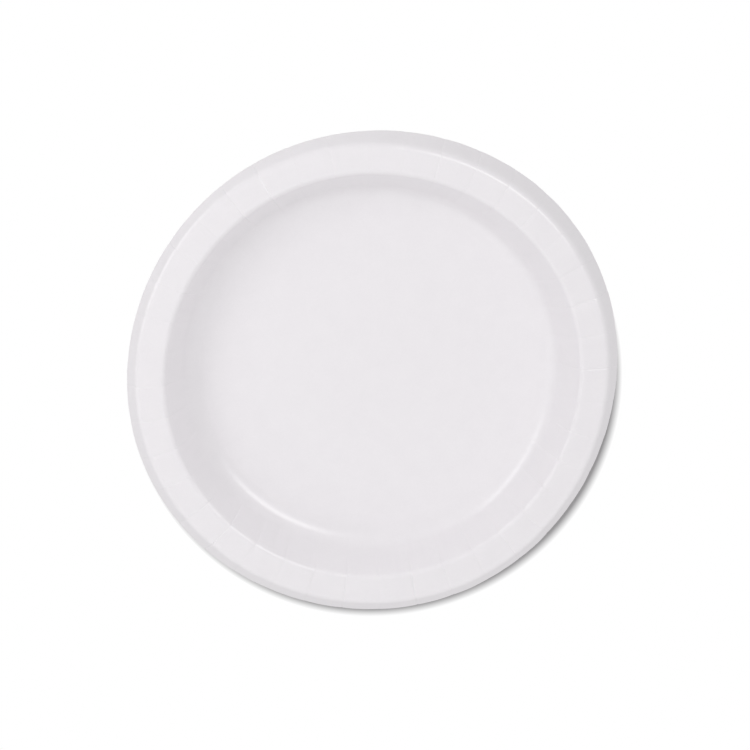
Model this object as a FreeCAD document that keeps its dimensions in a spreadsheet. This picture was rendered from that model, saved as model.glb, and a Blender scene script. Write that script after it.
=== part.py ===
"""Round pressed paper plate, 9 inch size: one coated board blank with radial pleats.

The plate is one sheet of board. From the middle outwards it has a flat floor, a rounded
corner, a sloping wall, a tight shoulder, a flange that falls slightly outwards, a brow and
a turned-down lip. The round blank has too much edge for that shape, so the press gathers it
into radial pleats, with nearly flat panels between them. Each pleat is a fold pressed into
the board: a fine V-shaped crease on the food side and a low ridge of tucked board on the
underside. It starts from nothing at the foot of the wall and grows to its full size at the
brow, because the edge has the most board to gather.

The rim is drawn as radial sections, and lofted straight from one to the next. One panel
with half a pleat on each side is made first, then it is repeated round the axis.

Frame: millimetres, +Z up, origin at the middle of the underside of the floor. A panel is
centred on +X.
"""

import FreeCAD, Part
import Sketcher
import math
import os

NODE = "plate"

# Driving dimensions. Lengths are in millimetres and angles in degrees.
SIZES = [
    ("plate_radius", 114.3, "middle of the plate to its cut edge"),
    ("plate_height", 19.0, "underside of the floor to the top of the shoulder"),
    ("board_thickness", 0.42, "coated paperboard"),
    ("floor_radius", 78.0, "flat part of the floor"),
    ("corner_radius", 12.0, "food side, between floor and wall"),
    ("wall_angle", 57.0, "wall above the horizontal"),
    ("shoulder_radius", 3.0, "food side, between wall and flange"),
    ("flange_fall", 4.0, "flange below the horizontal, towards the edge"),
    ("brow_radius", 2.5, "food side, between flange and lip"),
    ("brow_inset", 5.8, "middle of the brow's curve to the cut edge"),
    ("lip_angle", 45.0, "lip below the horizontal"),
    ("pleat_count", 40, "pleats round the plate"),
    ("pleat_width", 1.0, "one pleat, at the cut edge"),
    ("crease_depth", 0.15, "pleat below the food side, at the cut edge"),
    ("tuck_depth", 0.3, "pleat below the underside, at the cut edge"),
]

# A sketch's own names for the points of a line or arc, its origin and its first axis.
START, END, CENTRE = 1, 2, 3
ORIGIN = -1
ACROSS_AXIS = -1

# A distance outwards from the axis, and a height above the ground.
ACROSS = ("DistanceX", ORIGIN, START)
UPWARDS = ("DistanceY", ORIGIN, START)
Z_DIRECTION = FreeCAD.Vector(0, 0, 1)


def make_sheet(doc):
    """The spreadsheet of driving dimensions, one alias for each."""
    sheet = doc.addObject("Spreadsheet::Sheet", "Sizes")
    for row, (alias, value, meaning) in enumerate(SIZES, start=1):
        sheet.set(f"A{row}", alias)
        sheet.set(f"B{row}", str(value))
        sheet.set(f"C{row}", meaning)
        sheet.setAlias(f"B{row}", alias)
    doc.recompute()
    return sheet


def around(centre, radius, lean):
    """The point of an arc whose normal leans outwards from the vertical by an angle."""
    return (centre[0] + radius * math.sin(lean), centre[1] + radius * math.cos(lean))


class BoardLine:
    """Where one side of the board runs in a radial section: a sketch's first places.

    lift is the distance above the food side, square to the board: 0 is the food side and
    minus the board's thickness is the underside.
    """

    def __init__(self, sheet, lift=0.0):
        self.wall_lean = math.radians(sheet.wall_angle)
        self.flange_lean = math.radians(sheet.flange_fall)
        self.lip_lean = math.radians(sheet.lip_angle)
        self.corner_r = sheet.corner_radius - lift
        self.shoulder_r = sheet.shoulder_radius + lift
        self.brow_r = sheet.brow_radius + lift

        # The wall touches the corner's arc and the shoulder's arc.
        corner_x = sheet.floor_radius
        corner_z = sheet.board_thickness + sheet.corner_radius
        shoulder_z = sheet.plate_height - sheet.shoulder_radius
        both = sheet.corner_radius + sheet.shoulder_radius
        rise = shoulder_z - corner_z + both * math.cos(self.wall_lean)
        shoulder_x = corner_x + both * math.sin(self.wall_lean) + rise / math.tan(self.wall_lean)
        # The flange touches the shoulder's arc and the brow's arc.
        brow_x = sheet.plate_radius - sheet.brow_inset
        less = sheet.shoulder_radius - sheet.brow_radius
        drop = (brow_x - shoulder_x) * math.sin(self.flange_lean) - less
        brow_z = shoulder_z - drop / math.cos(self.flange_lean)

        self.corner_c = (corner_x, corner_z)
        self.shoulder_c = (shoulder_x, shoulder_z)
        self.brow_c = (brow_x, brow_z)
        self.floor_end = (corner_x, corner_z - self.corner_r)
        self.wall_foot = around(self.corner_c, -self.corner_r, -self.wall_lean)
        self.wall_head = around(self.shoulder_c, self.shoulder_r, -self.wall_lean)
        self.flange_start = around(self.shoulder_c, self.shoulder_r, self.flange_lean)
        self.flange_end = around(self.brow_c, self.brow_r, self.flange_lean)
        self.lip_start = around(self.brow_c, self.brow_r, self.lip_lean)
        # The cut edge is square to the lip, and its food side lies at the plate's radius.
        reach = sheet.brow_inset / math.cos(self.lip_lean) - sheet.brow_radius * math.tan(self.lip_lean)
        self.lip_end = (
            self.lip_start[0] + reach * math.cos(self.lip_lean),
            self.lip_start[1] - reach * math.sin(self.lip_lean),
        )


class Drawing:
    """A sketch on one of the body's own planes, with dimensions bound to the sheet."""

    def __init__(self, body, name, role):
        self.sketch = body.newObject("Sketcher::SketchObject", name)
        plane = next(f for f in body.Origin.OriginFeatures if f.Role == role)
        self.sketch.AttachmentSupport = (plane, [""])
        self.sketch.MapMode = "FlatFace"

    def turn(self, formula):
        """Turns the sketch's plane round the axis, by an angle from +X towards +Y."""
        about_axis = FreeCAD.Rotation(FreeCAD.Vector(0, 1, 0), 1)
        self.sketch.AttachmentOffset = FreeCAD.Placement(FreeCAD.Vector(), about_axis)
        self.sketch.setExpression("AttachmentOffset.Rotation.Angle", formula)

    def line(self, start, end):
        a, b = (FreeCAD.Vector(*p, 0) for p in (start, end))
        return self.sketch.addGeometry(Part.LineSegment(a, b), False)

    def arc(self, centre, radius, start, end):
        """The arc from start to end, anticlockwise about the centre."""
        circle = Part.Circle(FreeCAD.Vector(*centre, 0), Z_DIRECTION, radius)
        angles = [math.atan2(p[1] - centre[1], p[0] - centre[0]) for p in (start, end)]
        return self.sketch.addGeometry(Part.ArcOfCircle(circle, *angles), False)

    def tie(self, kind, *where):
        return self.sketch.addConstraint(Sketcher.Constraint(kind, *where))

    def size(self, name, formula, kind, *where):
        """A named dimension whose value follows a formula of the sheet's cells."""
        index = self.tie(kind, *where)
        self.sketch.renameConstraint(index, name)
        self.sketch.setExpression(f"Constraints.{name}", formula)

    def measure(self, name, kind, *where):
        """A named dimension that only reports what the others give."""
        index = self.tie(kind, *where)
        self.sketch.setDriving(index, False)
        self.sketch.renameConstraint(index, name)

    def board_side(self, at):
        """One side of the board, joined smoothly. Returns its geometry from corner to lip."""
        corner = self.arc(at.corner_c, at.corner_r, at.floor_end, at.wall_foot)
        wall = self.line(at.wall_foot, at.wall_head)
        shoulder = self.arc(at.shoulder_c, at.shoulder_r, at.flange_start, at.wall_head)
        flange = self.line(at.flange_start, at.flange_end)
        brow = self.arc(at.brow_c, at.brow_r, at.lip_start, at.flange_end)
        lip = self.line(at.lip_start, at.lip_end)
        self.tie("Tangent", corner, END, wall, START)
        self.tie("Tangent", wall, END, shoulder, END)
        self.tie("Tangent", shoulder, START, flange, START)
        self.tie("Tangent", flange, END, brow, END)
        self.tie("Tangent", brow, START, lip, START)
        return corner, wall, shoulder, flange, brow, lip

    def seat_corner(self, corner, at):
        """The corner leaves the floor's top level, where the flat floor ends."""
        self.tie("Vertical", corner, START, corner, CENTRE)
        self.size("floor_end", "Sizes.floor_radius", *ACROSS, corner, START, at.floor_end[0])
        self.size("floor_height", "Sizes.board_thickness", *UPWARDS, corner, START, at.floor_end[1])
        self.size("corner_r", "Sizes.corner_radius", "Radius", corner, at.corner_r)


def draw_layout(body, sheet):
    """The food side by its slopes: it finds where the shoulder and the brow are centred."""
    at = BoardLine(sheet)
    d = Drawing(body, "Layout", "XZ_Plane")
    corner, wall, shoulder, flange, brow, lip = d.board_side(at)
    shoulder_z = "Sizes.plate_height - Sizes.shoulder_radius"
    brow_x = "Sizes.plate_radius - Sizes.brow_inset"

    d.seat_corner(corner, at)
    d.size("wall_slope", "Sizes.wall_angle", "Angle", wall, at.wall_lean)
    d.size("shoulder_r", "Sizes.shoulder_radius", "Radius", shoulder, at.shoulder_r)
    d.size("shoulder_z", shoulder_z, *UPWARDS, shoulder, CENTRE, at.shoulder_c[1])
    d.size("flange_slope", "-Sizes.flange_fall", "Angle", flange, -at.flange_lean)
    d.size("brow_r", "Sizes.brow_radius", "Radius", brow, at.brow_r)
    d.size("brow_x", brow_x, *ACROSS, brow, CENTRE, at.brow_c[0])
    d.size("lip_slope", "-Sizes.lip_angle", "Angle", lip, -at.lip_lean)
    d.size("lip_end", "Sizes.plate_radius", *ACROSS, lip, END, at.lip_end[0])
    d.measure("shoulder_x", *ACROSS, shoulder, CENTRE, at.shoulder_c[0])
    d.measure("brow_z", *UPWARDS, brow, CENTRE, at.brow_c[1])


def draw_section(body, sheet, name, turn, pleated):
    """The board's closed section on one plane through the axis.

    A pleated section is the middle of a pleat: both sides of the board sink, from nothing at
    the foot of the wall through half the depth at the shoulder to the full depth at the brow.
    """
    crease, tuck = ("Sizes.crease_depth", "Sizes.tuck_depth") if pleated else ("0", "0")
    top = BoardLine(sheet)
    under = BoardLine(sheet, -sheet.board_thickness)
    d = Drawing(body, name, "XZ_Plane")
    d.turn(turn)
    corner, _, shoulder, _, brow, lip = d.board_side(top)
    under_corner, _, under_shoulder, _, under_brow, under_lip = d.board_side(under)
    foot = d.line(under.floor_end, top.floor_end)
    edge = d.line(under.lip_end, top.lip_end)

    shoulder_r = f"Sizes.shoulder_radius - {crease} / 2"
    brow_r = f"Sizes.brow_radius - {crease}"
    lip_end = f"Sizes.plate_radius - {crease} * sin(Sizes.lip_angle * 1 deg)"
    d.seat_corner(corner, top)
    d.size("shoulder_x", "Layout.Constraints.shoulder_x", *ACROSS, shoulder, CENTRE, top.shoulder_c[0])
    d.size("shoulder_z", "Layout.Constraints.shoulder_z", *UPWARDS, shoulder, CENTRE, top.shoulder_c[1])
    d.size("shoulder_r", shoulder_r, "Radius", shoulder, top.shoulder_r)
    d.size("brow_x", "Layout.Constraints.brow_x", *ACROSS, brow, CENTRE, top.brow_c[0])
    d.size("brow_z", "Layout.Constraints.brow_z", *UPWARDS, brow, CENTRE, top.brow_c[1])
    d.size("brow_r", brow_r, "Radius", brow, top.brow_r)
    d.size("lip_slope", "-Sizes.lip_angle", "Angle", lip, -top.lip_lean)
    d.size("lip_end", lip_end, *ACROSS, lip, END, top.lip_end[0])

    # The underside's arcs share their centres with the food side's.
    under_shoulder_r = f"Sizes.shoulder_radius - Sizes.board_thickness - {tuck} / 2"
    under_brow_r = f"Sizes.brow_radius - Sizes.board_thickness - {tuck}"
    d.tie("Coincident", under_corner, CENTRE, corner, CENTRE)
    d.tie("Coincident", under_shoulder, CENTRE, shoulder, CENTRE)
    d.tie("Coincident", under_brow, CENTRE, brow, CENTRE)
    d.size("under_shoulder_r", under_shoulder_r, "Radius", under_shoulder, under.shoulder_r)
    d.size("under_brow_r", under_brow_r, "Radius", under_brow, under.brow_r)
    d.tie("Parallel", under_lip, lip)

    # The foot stands on the ground and the cut edge is square to the lip.
    d.tie("PointOnObject", under_corner, START, ACROSS_AXIS)
    d.tie("Coincident", foot, START, under_corner, START)
    d.tie("Coincident", foot, END, corner, START)
    d.tie("Vertical", foot)
    d.tie("Coincident", edge, START, under_lip, END)
    d.tie("Coincident", edge, END, lip, END)
    d.tie("Perpendicular", edge, lip)
    return d.sketch


def draw_floor(body, sheet):
    """The flat floor's outline: one long side for each panel and two short for each pleat."""
    radius = sheet.floor_radius
    pitch = 2 * math.pi / sheet.pleat_count
    half_pleat = sheet.pleat_width / 2 / sheet.plate_radius
    turns = [
        (number + 0.5) * pitch + side * half_pleat
        for number in range(int(sheet.pleat_count))
        for side in (-1, 0, 1)
    ]
    points = [FreeCAD.Vector(radius * math.cos(t), radius * math.sin(t), 0) for t in turns]
    sides = range(len(points))
    after = [(i + 1) % len(points) for i in sides]
    pleat_side, first_pleat, panel_side = 0, 1, 2

    d = Drawing(body, "FloorOutline", "XY_Plane")
    d.sketch.addGeometry([Part.LineSegment(points[i], points[after[i]]) for i in sides], False)
    circle = d.sketch.addGeometry(Part.Circle(FreeCAD.Vector(), Z_DIRECTION, radius), True)
    d.sketch.addConstraint(
        [Sketcher.Constraint("Coincident", i, END, after[i], START) for i in sides]
        + [Sketcher.Constraint("PointOnObject", i, START, circle) for i in sides]
        + [Sketcher.Constraint("Equal", pleat_side, i) for i in sides if i % 3 != 2 and i > pleat_side]
        + [Sketcher.Constraint("Equal", panel_side, i) for i in sides if i % 3 == 2 and i > panel_side]
    )
    d.tie("Coincident", circle, CENTRE, ORIGIN, START)
    d.size("floor_r", "Sizes.floor_radius", "Radius", circle, radius)
    side_length = "2 * Sizes.floor_radius * sin(Sizes.pleat_width / Sizes.plate_radius / 4 * 1 rad)"
    d.size("pleat_side", side_length, "Distance", pleat_side, 2 * radius * math.sin(half_pleat / 2))
    pleat_place = "Sizes.floor_radius * sin(180 deg / Sizes.pleat_count)"
    d.size("pleat_place", pleat_place, *UPWARDS, first_pleat, START, points[first_pleat].y)
    return d.sketch


def press_plate(doc, body, sheet):
    """The floor, one panel from the middle of a pleat to the middle of the next, and the rest."""
    floor = body.newObject("PartDesign::Pad", "Floor")
    floor.Profile = (draw_floor(body, sheet), [""])
    floor.setExpression("Length", "Sizes.board_thickness")

    draw_layout(body, sheet)
    half_pitch = "180 / Sizes.pleat_count"
    half_pleat = "Sizes.pleat_width / Sizes.plate_radius * 90 / pi"
    sections = [
        draw_section(body, sheet, name, turn, pleated)
        for name, turn, pleated in (
            ("PleatBefore", f"-({half_pitch})", True),
            ("PanelStart", f"-({half_pitch} - {half_pleat})", False),
            ("PanelEnd", f"{half_pitch} - {half_pleat}", False),
            ("PleatAfter", half_pitch, True),
        )
    ]
    panel = body.newObject("PartDesign::AdditiveLoft", "Panel")
    panel.Profile = (sections[0], [""])
    panel.Sections = [(section, [""]) for section in sections[1:]]
    panel.Ruled = True
    panel.Refine = False
    doc.recompute()

    panels = body.newObject("PartDesign::PolarPattern", "Panels")
    panels.Originals = [panel]
    axis = next(f for f in body.Origin.OriginFeatures if f.Role == "Z_Axis")
    panels.Axis = (axis, [""])
    panels.Angle = 360
    panels.setExpression("Occurrences", "Sizes.pleat_count")
    panels.Refine = False
    body.Tip = panels
    doc.recompute()


def check(doc, body):
    """Stops if any object failed, or if the plate isn't one whole, valid solid."""
    failed = [o.Name for o in doc.Objects if {"Invalid", "Error"} & set(o.State)]
    if failed:
        raise RuntimeError("failed objects: " + ", ".join(failed))
    shape = body.Shape
    if shape.isNull() or not shape.isValid() or len(shape.Solids) != 1:
        raise RuntimeError("the plate isn't one valid solid")


def main():
    doc = FreeCAD.newDocument("paper_plate")
    sheet = make_sheet(doc)
    body = doc.addObject("PartDesign::Body", "Plate")
    body.Label = NODE
    body.Placement = FreeCAD.Placement()
    press_plate(doc, body, sheet)
    check(doc, body)

    os.makedirs("parts", exist_ok=True)
    body.Shape.exportStep(os.path.join("parts", body.Label + ".step"))
    print(f"{body.Label}: {body.Shape.Volume:.1f} cubic millimetres, {len(body.Shape.Faces)} faces")


main()
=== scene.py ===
# %% [markdown]
# # A pressed paperboard plate
#
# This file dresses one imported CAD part, a round disposable plate, so that it looks like
# the real thing. The plate is a single sheet of coated white board, pressed between two
# hot dies: a flat floor, a rounded corner, a sloping wall, a broad flange and a lip that
# is turned down. The flat sheet has too much board at its edge, and the dies gather the
# excess in forty small radial pleats.
#
# The CAD frame is loaded first. Everything below is in metres and in the same frame.

import bpy
import numpy as np
from mathutils import Matrix, Vector


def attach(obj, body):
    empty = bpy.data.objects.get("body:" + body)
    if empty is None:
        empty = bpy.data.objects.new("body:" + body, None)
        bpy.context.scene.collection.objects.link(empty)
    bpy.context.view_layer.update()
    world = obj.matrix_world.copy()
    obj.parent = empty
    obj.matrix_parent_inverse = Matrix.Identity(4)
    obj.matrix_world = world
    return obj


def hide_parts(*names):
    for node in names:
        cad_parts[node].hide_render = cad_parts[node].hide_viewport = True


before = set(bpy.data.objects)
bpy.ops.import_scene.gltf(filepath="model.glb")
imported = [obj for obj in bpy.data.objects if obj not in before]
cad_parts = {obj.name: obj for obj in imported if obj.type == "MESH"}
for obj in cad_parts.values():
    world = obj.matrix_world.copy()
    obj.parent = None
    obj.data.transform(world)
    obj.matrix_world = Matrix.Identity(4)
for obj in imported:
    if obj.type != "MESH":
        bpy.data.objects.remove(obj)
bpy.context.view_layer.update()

# %% [markdown]
# ## The line of the board
#
# Cut through its middle, the plate shows one line: straight across the floor, round the
# corner, straight up the wall, over a tight shoulder, nearly level along the flange, over
# the brow and down the lip. Such a line could be drawn as a curve and spun, but the
# pleats vary round the plate, so the line is kept as a table of points instead: radius,
# height and slope for each row of the surface. The arcs touch the straight runs, so only
# their centres have to be worked out. The brow is rounder here than in the CAD part,
# because the photograph shows a soft change of tone from the flange to the lip.

# %% The plate's own sizes
MM = 0.001
PLATE_RADIUS = 114.3 * MM
PLATE_HEIGHT = 19.0 * MM
BOARD = 0.42 * MM
FLOOR_RADIUS = 78.0 * MM
CORNER_RADIUS = 12.0 * MM
WALL_ANGLE = np.radians(57.0)
SHOULDER_RADIUS = 3.0 * MM
FLANGE_FALL = np.radians(4.0)
BROW_RADIUS = 4.5 * MM
BROW_INSET = 6.7 * MM
LIP_ANGLE = np.radians(45.0)
print("plate", 2 * PLATE_RADIUS, "m across and", PLATE_HEIGHT, "m high")


# %% The straight runs and arcs of that line
def lean(angle):
    """The unit normal of the food side where the board rises at this angle: (-sin, cos)."""
    return np.array([-np.sin(angle), np.cos(angle)])


corner_centre = np.array([FLOOR_RADIUS, BOARD + CORNER_RADIUS])
wall_foot = corner_centre - CORNER_RADIUS * lean(WALL_ANGLE)
shoulder_height = PLATE_HEIGHT - SHOULDER_RADIUS
wall_head_height = shoulder_height + SHOULDER_RADIUS * lean(WALL_ANGLE)[1]
wall_head = np.array(
    [wall_foot[0] + (wall_head_height - wall_foot[1]) / np.tan(WALL_ANGLE), wall_head_height]
)
shoulder_centre = wall_head - SHOULDER_RADIUS * lean(WALL_ANGLE)
flange_start = shoulder_centre + SHOULDER_RADIUS * lean(-FLANGE_FALL)
flange_end_radius = PLATE_RADIUS - BROW_INSET + BROW_RADIUS * np.sin(FLANGE_FALL)
flange_fall = (flange_end_radius - flange_start[0]) * np.tan(FLANGE_FALL)
flange_end = np.array([flange_end_radius, flange_start[1] - flange_fall])
brow_centre = flange_end - BROW_RADIUS * lean(-FLANGE_FALL)
lip_start = brow_centre + BROW_RADIUS * lean(-LIP_ANGLE)
lip_end = np.array(
    [PLATE_RADIUS, lip_start[1] - (PLATE_RADIUS - lip_start[0]) * np.tan(LIP_ANGLE)]
)
print("wall foot", wall_foot, "wall head", wall_head)
print("flange", flange_start, flange_end, "lip", lip_start, lip_end)


# %% The food side as one table of points
def run(start, end, count):
    """Points spaced evenly from start to end, and the one slope angle they share."""
    share = np.linspace(0.0, 1.0, count, endpoint=False)[:, None]
    step = end - start
    return start + share * step, np.full(count, np.arctan2(step[1], step[0]))


def bend(centre, radius, first, last, count):
    """Points round an arc, from the first slope to the last: the centre plus or minus the
    radius times the normal."""
    slope = np.linspace(first, last, count, endpoint=False)
    side = -1.0 if last > first else 1.0
    return centre + side * radius * np.stack([-np.sin(slope), np.cos(slope)], 1), slope


FIRST_RING = 3.0 * MM
floor_start = np.array([FIRST_RING, BOARD])
floor_end = np.array([FLOOR_RADIUS, BOARD])
# The last number of each piece is how many rows it gets: more where the board bends.
pieces = [
    run(floor_start, floor_end, 6),
    bend(corner_centre, CORNER_RADIUS, 0.0, WALL_ANGLE, 14),
    run(wall_foot, wall_head, 12),
    bend(shoulder_centre, SHOULDER_RADIUS, WALL_ANGLE, -FLANGE_FALL, 9),
    run(flange_start, flange_end, 11),
    bend(brow_centre, BROW_RADIUS, -FLANGE_FALL, -LIP_ANGLE, 10),
    run(lip_start, lip_end, 5),
]
line = np.concatenate([points for points, _ in pieces] + [lip_end[None]])
slope = np.concatenate([angles for _, angles in pieces] + [[-LIP_ANGLE]])
print("points along the board:", len(line))

# %% [markdown]
# ## Forty pleats
#
# Where the sheet is gathered, the board folds into a narrow valley on the food side and
# a tuck that stands out below. Between two pleats the board is stretched a little over
# the die, so each panel is a shallow arch rather than a cone. The valley has no depth at
# the foot of the wall and its full depth from the shoulder on. A texture could fake these
# lines, but then the rim would stay a clean circle in outline and the light would not
# break over it, so the valleys are in the surface itself.
#
# The grid's columns crowd together at each pleat, where the shape changes fast, and
# spread out over the panels.

# %% Where the columns stand
PLEATS = 40
PLEAT_WIDTH = 0.9 * MM
STEP = 2 * np.pi / PLEATS
ACROSS_PLEAT = [-1.0, -0.62, -0.34, -0.14, 0.0, 0.14, 0.34, 0.62]
ACROSS_PANEL = 8
near = np.array(ACROSS_PLEAT) * PLEAT_WIDTH / PLATE_RADIUS
reach = PLEAT_WIDTH / PLATE_RADIUS
between = np.linspace(reach, STEP - reach, ACROSS_PANEL + 1)[:-1]
one = np.concatenate([near, between])
around = (STEP / 2 + np.arange(PLEATS)[:, None] * STEP + one[None, :]).ravel()
print("columns round the plate:", len(around))

# %% [markdown]
# No two pleats are alike: the board gathers where its fibres give way first, so a few
# pleats are deep and most are faint. A power above 1 bends even random numbers that way.
# The spreads below are standard deviations in millimetres.

# %% How each pleat and each panel differs
FAINTEST = 0.30
DEPTH_RANGE = 0.87
MOSTLY_FAINT = 1.6
LIFT_SPREAD = 0.045
TILT_SPREAD = 0.10
SWAY_SPREAD = 0.25
rng = np.random.default_rng(17)
depth_share = FAINTEST + DEPTH_RANGE * rng.uniform(0.0, 1.0, PLEATS) ** MOSTLY_FAINT
panel_lift = rng.normal(0.0, LIFT_SPREAD, PLEATS) * MM
panel_tilt = rng.normal(0.0, TILT_SPREAD, PLEATS) * MM
pleat_sway = rng.normal(0.0, SWAY_SPREAD, PLEATS) * MM
print("pleat depths", depth_share.min().round(2), "to", depth_share.max().round(2))

# %% [markdown]
# Pressed board is never quite smooth outside the floor: where it was squeezed together it
# keeps a fine ripple that runs round the rim, with crests along the radius. Each ripple
# wave goes a whole number of times round the plate and is strongest at a radius of its
# own, so the pattern changes from the wall to the lip.

# %% The fine ripple of the squeezed board
RIPPLE_WAVES = 36
RIPPLE_HEIGHT = 0.018 * MM
RIPPLE_SPREAD = 7.0 * MM
RIPPLE_ORDERS = (45, 170)
RIPPLE_RADII = (86.0, 116.0)
ripple_order = rng.integers(*RIPPLE_ORDERS, RIPPLE_WAVES)
ripple_phase = rng.uniform(0.0, 2 * np.pi, RIPPLE_WAVES)
ripple_place = rng.uniform(*RIPPLE_RADII, RIPPLE_WAVES) * MM
print("ripple waves", RIPPLE_WAVES, "orders", ripple_order.min(), "to", ripple_order.max())

# %% [markdown]
# The real plate is not perfectly round either: board springs back after pressing, and
# handling pulls the rim out of shape. The rim sways in and out by up to 0.9 mm, the lip
# flares more on one side than on the other, by up to 1.5 mm, and its edge is bent down
# where a hand held it and up elsewhere. All three are sums of a few slow waves round the
# plate. The floor stays flat, so the table still carries it.


# %% How the rim and the lip sway
def waves(angle, orders, cosines, sines):
    """A sum of slow waves round the plate: each order's cosine and sine, times its size."""
    turns = np.outer(orders, angle)
    return (np.array(cosines) @ np.cos(turns) + np.array(sines) @ np.sin(turns)) * MM


TURN = np.radians(2.6)
rim_sway = waves(around - TURN, [2, 3, 4], [-0.26, -0.03, -0.13], [0.23, 0.16, 0.38])
lip_flare = waves(around - TURN, [1, 2, 3], [0.20, -0.29, -0.13], [0.51, 0.83, -0.02])
lip_droop = waves(around - TURN, [1, 2, 3], [0.21, 0.63, 0.07], [0.68, 0.27, 0.07])
print("rim sways by", np.ptp(rim_sway), "and the lip by", np.ptp(lip_flare))
print("the lip's own droop is up to", np.abs(lip_droop).max())


# %% The food side as a surface
def grow(radius, start, end):
    """A share from 0 at start to 1 at end that leaves and arrives level: 3t^2 - 2t^3."""
    t = np.clip((radius - start) / (end - start), 0.0, 1.0)
    return t * t * (3.0 - 2.0 * t)


CREASE_DEPTH = 0.15 * MM
TUCK_DEPTH = 0.30 * MM
PANEL_ARCH = 0.10 * MM
ARCH_MEAN = 0.67
VALLEY_SHARE = 0.36
PLEAT_START = wall_foot[0] - 2.0 * MM
FLARE_DROP = 1.2
LIP_CURVE = 1.5
PAST_LIMIT = 1.1


def pleat_form(radius, angle):
    """Returns how far the board sinks at a pleat, as a share of its full depth, and the
    lift of the panel between pleats.

    In words: the distance across the nearest pleat is radius times the angle to it; the
    valley is 1 / (1 + (distance / half width)^2) squared, times the growth up the wall.
    The panel is a parabola over the angle between its pleats, less its mean, so that the
    arch moves the board neither up nor down, plus the panel's own lift and tilt."""
    phase = (angle / STEP - 0.5) % 1.0
    away = np.where(phase > 0.5, phase - 1.0, phase)
    nearest = np.rint(angle / STEP - 0.5).astype(int) % PLEATS
    panel = np.floor(angle / STEP - 0.5).astype(int) % PLEATS
    up = grow(radius, PLEAT_START, flange_start[0])
    sway = pleat_sway[nearest] * grow(radius, wall_foot[0], PLATE_RADIUS)
    distance = away * STEP * radius - sway
    valley = depth_share[nearest] / (1.0 + (distance / (VALLEY_SHARE * PLEAT_WIDTH)) ** 2) ** 2
    arch = PANEL_ARCH * (4.0 * phase * (1.0 - phase) - ARCH_MEAN)
    edge = np.sin(np.pi * phase) ** 0.5
    own = (panel_lift[panel] + panel_tilt[panel] * (phase - 0.5)) * edge
    return valley * up, (arch + own) * up


def ripple(radius, angle):
    """The height of the fine ripple: a sum of cosines of order times angle plus phase, each
    fading with its distance from its own radius as a bell curve."""
    waves_round = np.cos(ripple_order[:, None] * angle[None, :] + ripple_phase[:, None])
    bell = np.exp(-(((radius[:, None] - ripple_place[None, :]) / RIPPLE_SPREAD) ** 2))
    return RIPPLE_HEIGHT * bell @ waves_round


def place(points, slopes, sink):
    """Carries the line round the plate and pushes it along its own normal by sink.

    In words: the radius gains the rim's sway, times the square of its share of the plate's
    radius, and past the brow the lip's flare, times the share of the lip that it has
    passed to the power 1.5; x and y are that radius times the cosine and sine of the
    angle. The height is the line's height plus the push's upright part, less the flare
    times its drop, because a wider lip also hangs lower, and less the lip's own droop."""
    radius = points[:, 0][:, None] - np.sin(slopes)[:, None] * sink
    height = points[:, 1][:, None] + np.cos(slopes)[:, None] * sink
    share = (radius / PLATE_RADIUS) ** 2
    past = (radius - brow_centre[0]) / (PLATE_RADIUS - brow_centre[0])
    past = np.clip(past, 0.0, PAST_LIMIT) ** LIP_CURVE
    flare = past * lip_flare[None, :]
    wide = radius + share * rim_sway[None, :] + flare
    height = height - FLARE_DROP * flare - past * lip_droop[None, :]
    return np.stack([wide * np.cos(around), wide * np.sin(around), height], -1)


def full(points):
    """The radius of each row repeated over every column."""
    return np.repeat(points[:, 0][:, None], len(around), 1)


valley, panel = pleat_form(full(line), around[None, :])
panel = panel + ripple(line[:, 0], around)
top_side = place(line, slope, -CREASE_DEPTH * valley + panel)
print("food side:", top_side.shape, "highest point", top_side[..., 2].max())

# %% [markdown]
# ## The underside and the cut edge
#
# The underside is the same line one board thickness lower, so the same function makes
# it. At a pleat the gathered board is doubled, and the tuck stands out below by more
# than the valley sinks above. The cut edge at the lip joins both sides: it is square, as
# a die cuts it, and only its corners are eased by the blade.

# %% The underside as a surface
under_line = line - BOARD * np.stack([-np.sin(slope), np.cos(slope)], 1)
under_side = place(under_line, slope, -TUCK_DEPTH * valley + panel)
under_side[..., 2] = np.maximum(under_side[..., 2], 0.0)
EASE = 0.12
BULGE = 0.035 * MM
EDGE_ROWS = (EASE, 0.5, 1 - EASE)
edge_line = [(1 - share) * top_side[-1] + share * under_side[-1] for share in EDGE_ROWS]
outward = np.stack([np.cos(around), np.sin(around), np.full_like(around, -1.0)], -1)
outward = outward / np.sqrt(2)
edge_side = np.stack([row + BULGE * outward for row in edge_line])
print("lowest point", under_side[..., 2].min())


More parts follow.
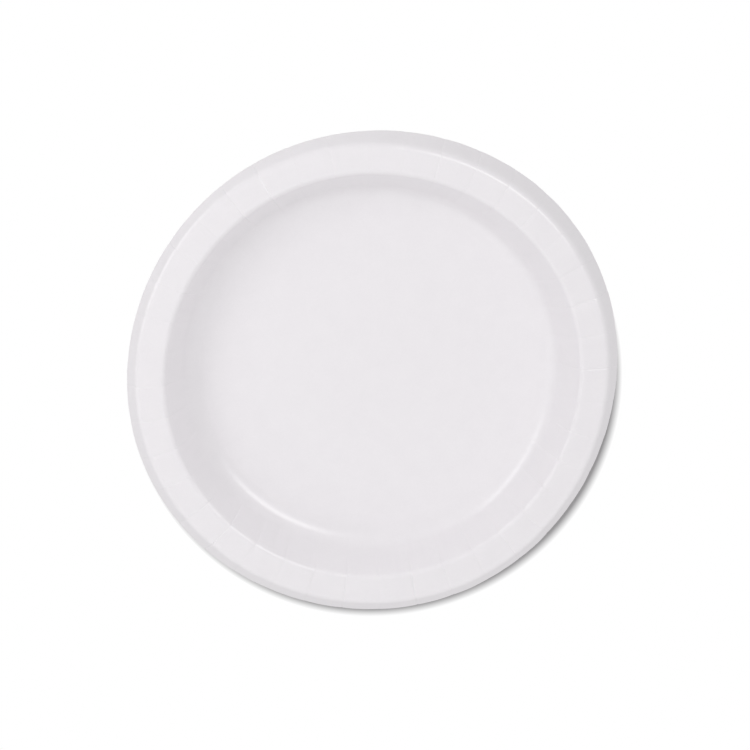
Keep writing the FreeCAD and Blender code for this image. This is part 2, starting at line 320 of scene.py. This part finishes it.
# %% One closed skin
def closed_skin(name, rings, first_pole, last_pole):
    """Makes one closed mesh from rings of equal length and two poles.

    In words: ring i and ring i + 1 are joined by quads, the last column to the first,
    and each end ring is joined to its pole by triangles. The order of the corners turns
    every face outwards when the rings run up the food side, over the edge and back below."""
    count, columns = rings.shape[0], rings.shape[1]
    points = np.concatenate([rings.reshape(-1, 3), [first_pole, last_pole]])
    index = np.arange(count * columns).reshape(count, columns)
    after = np.roll(index, -1, axis=1)
    quads = np.stack([index[:-1], index[1:], after[1:], after[:-1]], -1).reshape(-1, 4)
    first, last = count * columns, count * columns + 1
    start_fan = np.stack([np.full(columns, first), index[0], after[0]], -1)
    end_fan = np.stack([index[-1], np.full(columns, last), after[-1]], -1)
    mesh = bpy.data.meshes.new(name)
    corners = np.concatenate([quads.ravel(), start_fan.ravel(), end_fan.ravel()])
    sizes = np.concatenate([np.full(len(quads), 4), np.full(2 * columns, 3)])
    starts = np.concatenate([[0], np.cumsum(sizes)[:-1]])
    mesh.vertices.add(len(points))
    mesh.loops.add(len(corners))
    mesh.polygons.add(len(sizes))
    mesh.vertices.foreach_set("co", points.astype(np.float32).ravel())
    mesh.loops.foreach_set("vertex_index", corners.astype(np.int32))
    mesh.polygons.foreach_set("loop_start", starts.astype(np.int32))
    mesh.update(calc_edges=True)
    mesh.validate()
    mesh.shade_smooth()
    print(name, "faces", len(mesh.polygons), "triangles", len(quads) * 2 + 2 * columns)
    return mesh


skin = np.concatenate([top_side, edge_side, under_side[::-1]])
plate_mesh = closed_skin("pressed_plate", skin, [0.0, 0.0, BOARD], [0.0, 0.0, 0.0])
plate = bpy.data.objects.new("pressed_plate", plate_mesh)
bpy.context.scene.collection.objects.link(plate)
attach(plate, "root")
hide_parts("plate")

# %% [markdown]
# The two corners of the cut edge are real edges, so their shading is split there. The
# rows' places in the skin say which edges they are.

# %% Sharp corners at the cut edge
rows_above = len(line)
columns = len(around)
edge_rows = [rows_above - 1, rows_above + len(EDGE_ROWS)]
ends = np.zeros(len(plate_mesh.edges) * 2, np.int32)
plate_mesh.edges.foreach_get("vertices", ends)
ends = ends.reshape(-1, 2)
row_of = ends // columns
sharp = np.zeros(len(plate_mesh.edges), bool)
for row in edge_rows:
    sharp |= (row_of[:, 0] == row) & (row_of[:, 1] == row)
sharp_layer = plate_mesh.attributes.get("sharp_edge") or plate_mesh.attributes.new(
    "sharp_edge", "BOOLEAN", "EDGE"
)
sharp_layer.data.foreach_set("value", sharp)
print("sharp edges", int(sharp.sum()))

# %% [markdown]
# ## Coated board
#
# The food side carries a thin white clay coating, calendered until it is satin: it gives
# a soft streak of light at each bend, and under the coating the fibres still show as
# very faint clouds and a fine tooth. One flat white would look like plastic. The cloud
# tint stays within a few hundredths, the gloss varies with the same clouds, and two
# scales of bump give the tooth and the slight cockle of the board. The whole range of
# roughness stays below 0.27, because a range across that value gives dark specks after
# denoising.

# %% A few helpers for node materials
def new_material(name):
    """An empty node material and its node and link lists."""
    material = bpy.data.materials.new(name)
    material.use_nodes = True
    nodes, links = material.node_tree.nodes, material.node_tree.links
    nodes.clear()
    return material, nodes, links


def noise(nodes, links, source, scale, detail=3.0, roughness=0.55):
    """A noise texture on Object coordinates, in cycles per metre."""
    texture = nodes.new("ShaderNodeTexNoise")
    texture.inputs["Scale"].default_value = scale
    texture.inputs["Detail"].default_value = detail
    texture.inputs["Roughness"].default_value = roughness
    links.new(source, texture.inputs["Vector"])
    return texture.outputs["Fac"]


def ramp(nodes, links, source, low, high, to_low, to_high):
    """Maps a value from one range to another, without going past its ends."""
    mapping = nodes.new("ShaderNodeMapRange")
    mapping.inputs["From Min"].default_value = low
    mapping.inputs["From Max"].default_value = high
    mapping.inputs["To Min"].default_value = to_low
    mapping.inputs["To Max"].default_value = to_high
    links.new(source, mapping.inputs["Value"])
    return mapping.outputs["Result"]


def mix_colour(nodes, links, share, first, second):
    """Blends two colours by a share; each is a colour or a socket."""
    mixer = nodes.new("ShaderNodeMix")
    mixer.data_type = "RGBA"
    links.new(share, mixer.inputs["Factor"])
    for socket, value in ((mixer.inputs["A"], first), (mixer.inputs["B"], second)):
        if isinstance(value, tuple):
            socket.default_value = (*value, 1.0)
        else:
            links.new(value, socket)
    return mixer.outputs["Result"]


# %% The food side's finish
CLOUDS = 95.0
FIBRES = 900.0
NOISE_LOW, NOISE_HIGH = 0.3, 0.7
THIN_CLAY = (0.856, 0.831, 0.856)
THICK_CLAY = (0.870, 0.845, 0.869)
FIBRE_DARK = (0.985, 0.985, 0.985)
FIBRE_LIGHT = (1.0, 1.0, 1.0)
FIBRE_LOW, FIBRE_HIGH = 0.25, 0.75
GLOSS = (0.20, 0.25)
coated, nodes, links = new_material("coated_board")
place_on = nodes.new("ShaderNodeTexCoord").outputs["Object"]
cloud = noise(nodes, links, place_on, CLOUDS, 4.0)
fibre = noise(nodes, links, place_on, FIBRES, 3.0)
shade = ramp(nodes, links, cloud, NOISE_LOW, NOISE_HIGH, 0.0, 1.0)
tint = mix_colour(nodes, links, shade, THIN_CLAY, THICK_CLAY)
speck = ramp(nodes, links, fibre, FIBRE_LOW, FIBRE_HIGH, 0.0, 1.0)
fine = mix_colour(nodes, links, speck, FIBRE_DARK, FIBRE_LIGHT)
board_colour = nodes.new("ShaderNodeMix")
board_colour.data_type = "RGBA"
board_colour.blend_type = "MULTIPLY"
board_colour.inputs["Factor"].default_value = 1.0
links.new(tint, board_colour.inputs["A"])
links.new(fine, board_colour.inputs["B"])
gloss = ramp(nodes, links, cloud, NOISE_LOW, NOISE_HIGH, *GLOSS)
cockle = nodes.new("ShaderNodeBump")
cockle.inputs["Strength"].default_value = 0.25
cockle.inputs["Distance"].default_value = 0.00025
links.new(cloud, cockle.inputs["Height"])
tooth = nodes.new("ShaderNodeBump")
tooth.inputs["Strength"].default_value = 0.18
tooth.inputs["Distance"].default_value = 0.00003
links.new(fibre, tooth.inputs["Height"])
links.new(cockle.outputs["Normal"], tooth.inputs["Normal"])
shader = nodes.new("ShaderNodeBsdfPrincipled")
shader.inputs["Specular IOR Level"].default_value = 0.5
shader.inputs["IOR"].default_value = 1.5
links.new(board_colour.outputs["Result"], shader.inputs["Base Color"])
links.new(gloss, shader.inputs["Roughness"])
links.new(tooth.outputs["Normal"], shader.inputs["Normal"])
links.new(shader.outputs["BSDF"], nodes.new("ShaderNodeOutputMaterial").inputs["Surface"])
print("made", coated.name, "with roughness", GLOSS)

# %% [markdown]
# The underside has no coating. Its fibres lie open, so it is matt, a shade greyer and
# warmer, and its tooth is stronger. The cut edge shows the board's middle, the same bare
# fibre. Both share one material, and the skin's faces are given theirs by row.

# %% The underside's and edge's finish
BARE_CLOUDS = 140.0
BARE_FIBRES = 1300.0
FIBRE_GREY = (0.76, 0.75, 0.735)
FIBRE_PALE = (0.80, 0.79, 0.775)
MATT = (0.72, 0.88)
bare, nodes, links = new_material("bare_board")
place_on = nodes.new("ShaderNodeTexCoord").outputs["Object"]
cloud = noise(nodes, links, place_on, BARE_CLOUDS, 5.0, 0.6)
fibre = noise(nodes, links, place_on, BARE_FIBRES, 3.0)
shade = ramp(nodes, links, cloud, NOISE_LOW, NOISE_HIGH, 0.0, 1.0)
tint = mix_colour(nodes, links, shade, FIBRE_GREY, FIBRE_PALE)
roughness = ramp(nodes, links, fibre, NOISE_LOW, NOISE_HIGH, *MATT)
tooth = nodes.new("ShaderNodeBump")
tooth.inputs["Strength"].default_value = 0.4
tooth.inputs["Distance"].default_value = 0.00006
links.new(fibre, tooth.inputs["Height"])
shader = nodes.new("ShaderNodeBsdfPrincipled")
shader.inputs["Specular IOR Level"].default_value = 0.35
links.new(tint, shader.inputs["Base Color"])
links.new(roughness, shader.inputs["Roughness"])
links.new(tooth.outputs["Normal"], shader.inputs["Normal"])
links.new(shader.outputs["BSDF"], nodes.new("ShaderNodeOutputMaterial").inputs["Surface"])
print("made", bare.name, "with roughness", MATT)

# %% Which faces get which finish
plate_mesh.materials.append(coated)
plate_mesh.materials.append(bare)
quad_rows = np.repeat(np.arange(len(skin) - 1), columns)
first_fan, last_fan = np.zeros(columns, np.int32), np.ones(columns, np.int32)
below = (quad_rows >= rows_above - 1).astype(np.int32)
finish = np.concatenate([below, first_fan, last_fan])
plate_mesh.polygons.foreach_set("material_index", finish)
plate_mesh.update()
print("coated faces", int((finish == 0).sum()), "bare faces", int((finish == 1).sum()))

# %% [markdown]
# ## Table and studio
#
# The plate stands on a plain white sweep. For the camera, for gloss and through glass the
# sweep is white away from the plate, and close to the plate it is a real surface that
# keeps the shadow. That is done in its material with Light Path, so no extra light falls
# on the plate. The photograph shows only a thin dark line on the floor, on the right and
# below, so close to the plate the sweep is also painted a darker grey, a painted shade:
# a disc about as wide as the plate, moved a little to that side, that fades to white just
# past the plate's edge. The plate's real shadow falls on top of that painted shade.

# %% Which rays see white
WHITE = 1.0


def seen_rays(nodes, links):
    """1 for a ray from the camera, off gloss or through glass, and 0 for a ray of soft
    light: the greatest of three Light Path outputs."""
    path = nodes.new("ShaderNodeLightPath")
    total = path.outputs["Is Camera Ray"]
    for name in ("Is Glossy Ray", "Is Transmission Ray"):
        greater = nodes.new("ShaderNodeMath")
        greater.operation = "MAXIMUM"
        links.new(total, greater.inputs[0])
        links.new(path.outputs[name], greater.inputs[1])
        total = greater.outputs["Value"]
    return total


# %% The white sweep
HALF_SWEEP = 3.0
SWEEP_HEIGHT = -0.05 * MM
sweep_mesh = bpy.data.meshes.new("sweep")
corners = [(-1, -1), (1, -1), (1, 1), (-1, 1)]
sweep_mesh.from_pydata(
    [(HALF_SWEEP * x, HALF_SWEEP * y, SWEEP_HEIGHT) for x, y in corners], [], [(0, 1, 2, 3)]
)
sweep = bpy.data.objects.new("sweep", sweep_mesh)
bpy.context.scene.collection.objects.link(sweep)

# %% The sweep's material
# A painted shade on the sweep: a darker disc moved to one side of the plate, fading to white
# just past its edge.
PAINTED_SHADE_SIDE = np.radians(286.0) + TURN
PAINTED_SHADE_SHIFT = 7.8 * MM
PAINTED_SHADE_EDGE, PAINTED_SHADE_END = 0.1120, 0.1159
PLAIN_FLOOR = (0.3, 0.3, 0.3, 1.0)
# The painted shade's grey, darker than the white around it; the real shadow darkens it
# further.
PAINTED_SHADE_GREY = (0.47, 0.46, 0.47, 1.0)
paper, nodes, links = new_material("sweep_white")
from_painted_shade = nodes.new("ShaderNodeVectorMath")
from_painted_shade.operation = "DISTANCE"
links.new(nodes.new("ShaderNodeTexCoord").outputs["Object"], from_painted_shade.inputs[0])
from_painted_shade.inputs[1].default_value = (
    PAINTED_SHADE_SHIFT * np.cos(PAINTED_SHADE_SIDE), PAINTED_SHADE_SHIFT * np.sin(PAINTED_SHADE_SIDE), SWEEP_HEIGHT
)
away = ramp(nodes, links, from_painted_shade.outputs["Value"], PAINTED_SHADE_EDGE, PAINTED_SHADE_END, 0.0, 1.0)
plain = nodes.new("ShaderNodeBsdfDiffuse")
plain.inputs["Color"].default_value = PLAIN_FLOOR
painted_shade = nodes.new("ShaderNodeBsdfDiffuse")
painted_shade.inputs["Color"].default_value = PAINTED_SHADE_GREY
white = nodes.new("ShaderNodeEmission")
white.inputs["Strength"].default_value = WHITE
near_far = nodes.new("ShaderNodeMixShader")
links.new(away, near_far.inputs[0])
links.new(painted_shade.outputs["BSDF"], near_far.inputs[1])
links.new(white.outputs["Emission"], near_far.inputs[2])
chosen = nodes.new("ShaderNodeMixShader")
links.new(seen_rays(nodes, links), chosen.inputs[0])
links.new(plain.outputs["BSDF"], chosen.inputs[1])
links.new(near_far.outputs["Shader"], chosen.inputs[2])
links.new(chosen.outputs["Shader"], nodes.new("ShaderNodeOutputMaterial").inputs["Surface"])
sweep_mesh.materials.append(paper)
print("made", sweep.name)

# %% [markdown]
# The light in the picture is a bright tent with two soft boxes. The tent is the world's
# even light. The boxes are area lamps: their mirror images are the two short streaks on
# the brow and the two on the corner, and those streaks say where the boxes stand. The
# left one stands close, so its light fades across the plate. Six large, weak panels stand
# for the brighter walls of the tent. Lamps don't block each other's light, so they may
# overlap.

# %% The world
TENT_LIGHT = 0.757
world = bpy.data.worlds.new("tent")
bpy.context.scene.world = world
world.use_nodes = True
nodes, links = world.node_tree.nodes, world.node_tree.links
nodes.clear()
even = nodes.new("ShaderNodeBackground")
even.inputs["Strength"].default_value = TENT_LIGHT
backdrop = nodes.new("ShaderNodeBackground")
backdrop.inputs["Strength"].default_value = WHITE
either = nodes.new("ShaderNodeMixShader")
links.new(seen_rays(nodes, links), either.inputs[0])
links.new(even.outputs["Background"], either.inputs[1])
links.new(backdrop.outputs["Background"], either.inputs[2])
links.new(either.outputs["Shader"], nodes.new("ShaderNodeOutputWorld").inputs["Surface"])
print("made", world.name, "with strength", TENT_LIGHT)

# %% The soft boxes
def soft_box(name, azimuth, elevation, distance, width, height, brightness, roll=0.0):
    """An area lamp that faces the plate. Azimuth, elevation and roll are in degrees, and
    brightness is the lamp's radiance, so power is brightness times its area times pi."""
    a, e = np.radians(azimuth) + TURN, np.radians(elevation)
    spot = Vector((np.cos(e) * np.cos(a), np.cos(e) * np.sin(a), np.sin(e))) * distance
    face = spot.to_track_quat("Z", "Y").to_matrix() @ Matrix.Rotation(np.radians(roll), 3, "Z")
    data = bpy.data.lights.new(name, "AREA")
    data.shape = "RECTANGLE"
    data.size, data.size_y = width, height
    data.energy = brightness * width * height * np.pi
    lamp = bpy.data.objects.new(name, data)
    lamp.rotation_euler = face.to_euler()
    lamp.location = spot
    lamp.visible_camera = False
    bpy.context.scene.collection.objects.link(lamp)
    print(name, "power", round(data.energy, 2))
    return lamp


# The numbers are azimuth, elevation, distance, width, height, brightness and roll.
soft_box("box_right", 37.0, 57.5, 1.6, 0.74, 0.52, 4.2, 11.0)
soft_box("box_left", 157.0, 33.0, 0.80, 0.63, 0.21, 2.5, 20.0)
PANEL_DISTANCE = 1.8
SIDE_PANEL = (1.45, 1.15)
ROOF_PANEL = (0.9, 0.75)
ROOF_ELEVATION = 50.0
# Each row is azimuth, elevation and brightness.
PANELS = [
    (90.0, 35.0, 0.24),
    (135.0, 35.0, 0.18),
    (180.0, 35.0, 0.14),
    (225.0, 35.0, 0.52),
    (270.0, 35.0, 0.32),
    (270.0, 62.0, 0.14),
]
for count, (azimuth, elevation, brightness) in enumerate(PANELS):
    size = SIDE_PANEL if elevation < ROOF_ELEVATION else ROOF_PANEL
    soft_box(f"panel_{count}", azimuth, elevation, PANEL_DISTANCE, *size, brightness)

# %% [markdown]
# ## Camera
#
# The photograph looks down on the plate from a little to one side of upright. The tilt,
# the distance and the plate's scale in the frame were found by fitting the rings of the
# plate, rim, brow, shoulder and corner, to where the picture shows them. The camera aims
# at a point beside the plate's middle instead of using a lens shift.

# %% The camera
TILT = np.radians(16.08)
HEADING = np.radians(101.5) + TURN
DISTANCE = 1.557
PIXELS_PER_METRE = 2141.7
FRAME = 750
OFFSET = (-3.7, 7.8)
SENSOR = 36.0
FAR_LIMIT = 20.0
level = np.sin(TILT)
toward = Vector((level * np.cos(HEADING), level * np.sin(HEADING), np.cos(TILT)))
twist = Matrix.Rotation(TURN, 3, "Z")
swing = Vector((0, 0, 1)).rotation_difference(toward).to_matrix()
axes = swing @ twist
right, up = axes.col[0].copy(), axes.col[1].copy()
aim = -(right * OFFSET[0] + up * OFFSET[1]) / PIXELS_PER_METRE
camera_data = bpy.data.cameras.new("camera")
camera_data.sensor_width = SENSOR
camera_data.lens = SENSOR * PIXELS_PER_METRE * DISTANCE / FRAME
camera_data.clip_end = FAR_LIMIT
camera = bpy.data.objects.new("camera", camera_data)
camera.matrix_world = Matrix.Translation(aim + toward * DISTANCE) @ axes.to_4x4()
bpy.context.scene.collection.objects.link(camera)
bpy.context.scene.camera = camera
print("lens", round(camera_data.lens, 1), "at", camera.matrix_world.translation)

# %% [markdown]
# The plain Standard view keeps each colour as it is written.

# %% The view
bpy.context.scene.view_settings.view_transform = "Standard"
